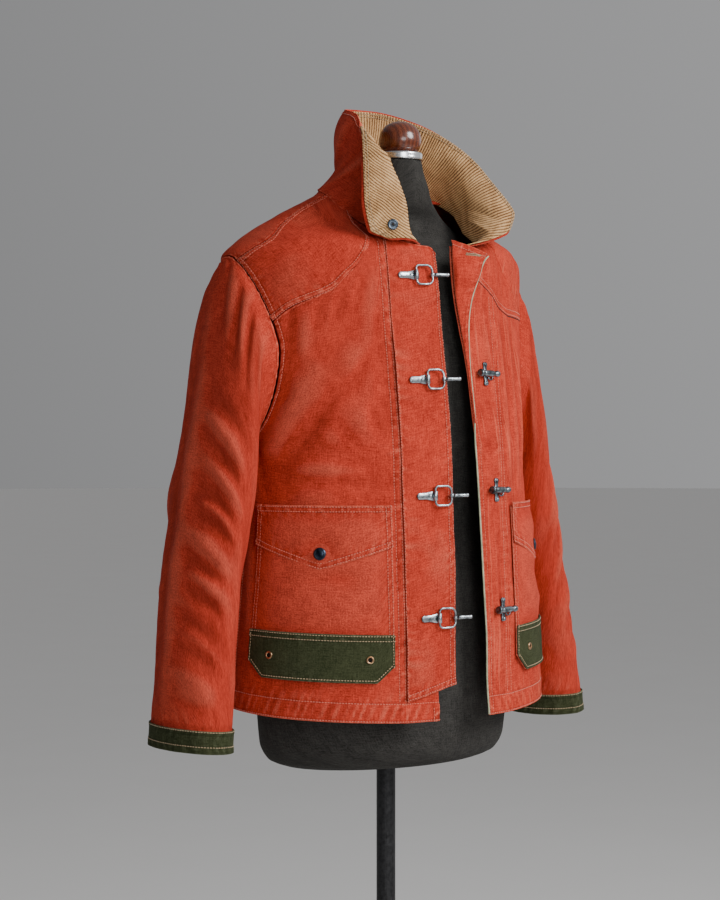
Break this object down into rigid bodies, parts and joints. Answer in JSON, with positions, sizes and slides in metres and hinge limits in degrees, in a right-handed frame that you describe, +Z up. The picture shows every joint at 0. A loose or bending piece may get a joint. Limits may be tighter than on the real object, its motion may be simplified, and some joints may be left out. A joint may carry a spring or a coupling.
{
  "type": "fireman jacket on dress form",
  "caption": "Hip-length canvas work jacket, open, on a limbless dress form: corduroy-faced collar, storm flap with ring clasps and hooks, patch pockets, banded cuffs, round weighted foot.",
  "frame": {"origin": "middle of the round foot's underside, on the floor", "axes": "+Z up, the jacket faces -Y, the wearer's left is +X"},
  "size_m": [0.6678, 0.38, 1.6529],
  "materials": {
    "canvas_red": "washed cotton canvas, salmon red, worn pale on its seams",
    "corduroy_tan": "tan cotton corduroy, fine wales",
    "canvas_green": "dark green cotton canvas",
    "steel_clasp": "antique steel",
    "snap_dark": "dark blue-black snap caps",
    "eyelet_brass": "aged brass",
    "form_cloth": "plain dark cover cloth",
    "ring_metal": "bright turned metal",
    "knob_wood": "polished red-brown wood",
    "stand_metal": "black satin"
  },
  "bodies": {
    "dressed_form": {"back_panel": "canvas_red", "clasp_plate_1": "steel_clasp", "clasp_plate_2": "steel_clasp", "clasp_plate_3": "steel_clasp", "clasp_plate_4": "steel_clasp", "collar_facing": "corduroy_tan", "collar_outer": "canvas_red", "collar_snap": "snap_dark", "cuff_left": "canvas_green", "cuff_right": "canvas_green", "eyelet_inner_left": "eyelet_brass", "eyelet_inner_right": "eyelet_brass", "eyelet_outer_left": "eyelet_brass", "eyelet_outer_right": "eyelet_brass", "flap_snap_left": "snap_dark", "flap_snap_right": "snap_dark", "form_torso": "form_cloth", "front_facing_left": "canvas_red", "front_left": "canvas_red", "front_right": "canvas_red", "hook_bar_1": "steel_clasp", "hook_bar_2": "steel_clasp", "hook_bar_3": "steel_clasp", "hook_bar_4": "steel_clasp", "hook_barrel_1": "steel_clasp", "hook_barrel_2": "steel_clasp", "hook_barrel_3": "steel_clasp", "hook_barrel_4": "steel_clasp", "neck_knob": "knob_wood", "neck_ring": "ring_metal", "pocket_flap_left": "canvas_red", "pocket_flap_right": "canvas_red", "pocket_left": "canvas_red", "pocket_patch_left": "canvas_green", "pocket_patch_right": "canvas_green", "pocket_right": "canvas_red", "sleeve_left": "canvas_red", "sleeve_right": "canvas_red", "stand_foot": "stand_metal", "stand_pole": "stand_metal", "storm_flap": "canvas_red", "yoke_left": "canvas_red", "yoke_right": "canvas_red"},
    "ring_1": {"clasp_ring_1": "steel_clasp"},
    "tab_1": {"clasp_tab_1": "steel_clasp"},
    "ring_2": {"clasp_ring_2": "steel_clasp"},
    "tab_2": {"clasp_tab_2": "steel_clasp"},
    "ring_3": {"clasp_ring_3": "steel_clasp"},
    "tab_3": {"clasp_tab_3": "steel_clasp"},
    "ring_4": {"clasp_ring_4": "steel_clasp"},
    "tab_4": {"clasp_tab_4": "steel_clasp"}
  },
  "joints": [
    {"name": "ring_hinge_1", "type": "hinge", "parent": "dressed_form", "child": "ring_1", "pos_m": [-0.04038, -0.16186, 0.99421], "axis": [-0.0007, -0.0275, -0.9996], "range_deg": [0, 90]},
    {"name": "tab_hinge_1", "type": "hinge", "parent": "ring_1", "child": "tab_1", "pos_m": [-0.01803, -0.1652, 0.99429], "axis": [-0.0007, -0.0275, -0.9996], "range_deg": [0, 60]},
    {"name": "ring_hinge_2", "type": "hinge", "parent": "dressed_form", "child": "ring_2", "pos_m": [-0.04211, -0.15569, 1.14541], "axis": [-0.0006, -0.0499, -0.9988], "range_deg": [0, 90]},
    {"name": "tab_hinge_2", "type": "hinge", "parent": "ring_2", "child": "tab_2", "pos_m": [-0.01994, -0.16005, 1.14562], "axis": [-0.0006, -0.0499, -0.9988], "range_deg": [0, 60]},
    {"name": "ring_hinge_3", "type": "hinge", "parent": "dressed_form", "child": "ring_3", "pos_m": [-0.04412, -0.14311, 1.29005], "axis": [0.0009, -0.122, -0.9925], "range_deg": [0, 90]},
    {"name": "tab_hinge_3", "type": "hinge", "parent": "ring_3", "child": "tab_3", "pos_m": [-0.02197, -0.14758, 1.29062], "axis": [0.0009, -0.122, -0.9925], "range_deg": [0, 60]},
    {"name": "ring_hinge_4", "type": "hinge", "parent": "dressed_form", "child": "ring_4", "pos_m": [-0.0475, -0.12445, 1.42114], "axis": [0.001, -0.1363, -0.9907], "range_deg": [0, 90]},
    {"name": "tab_hinge_4", "type": "hinge", "parent": "ring_4", "child": "tab_4", "pos_m": [-0.02527, -0.1285, 1.42173], "axis": [0.001, -0.1363, -0.9907], "range_deg": [0, 60]}
  ]
}
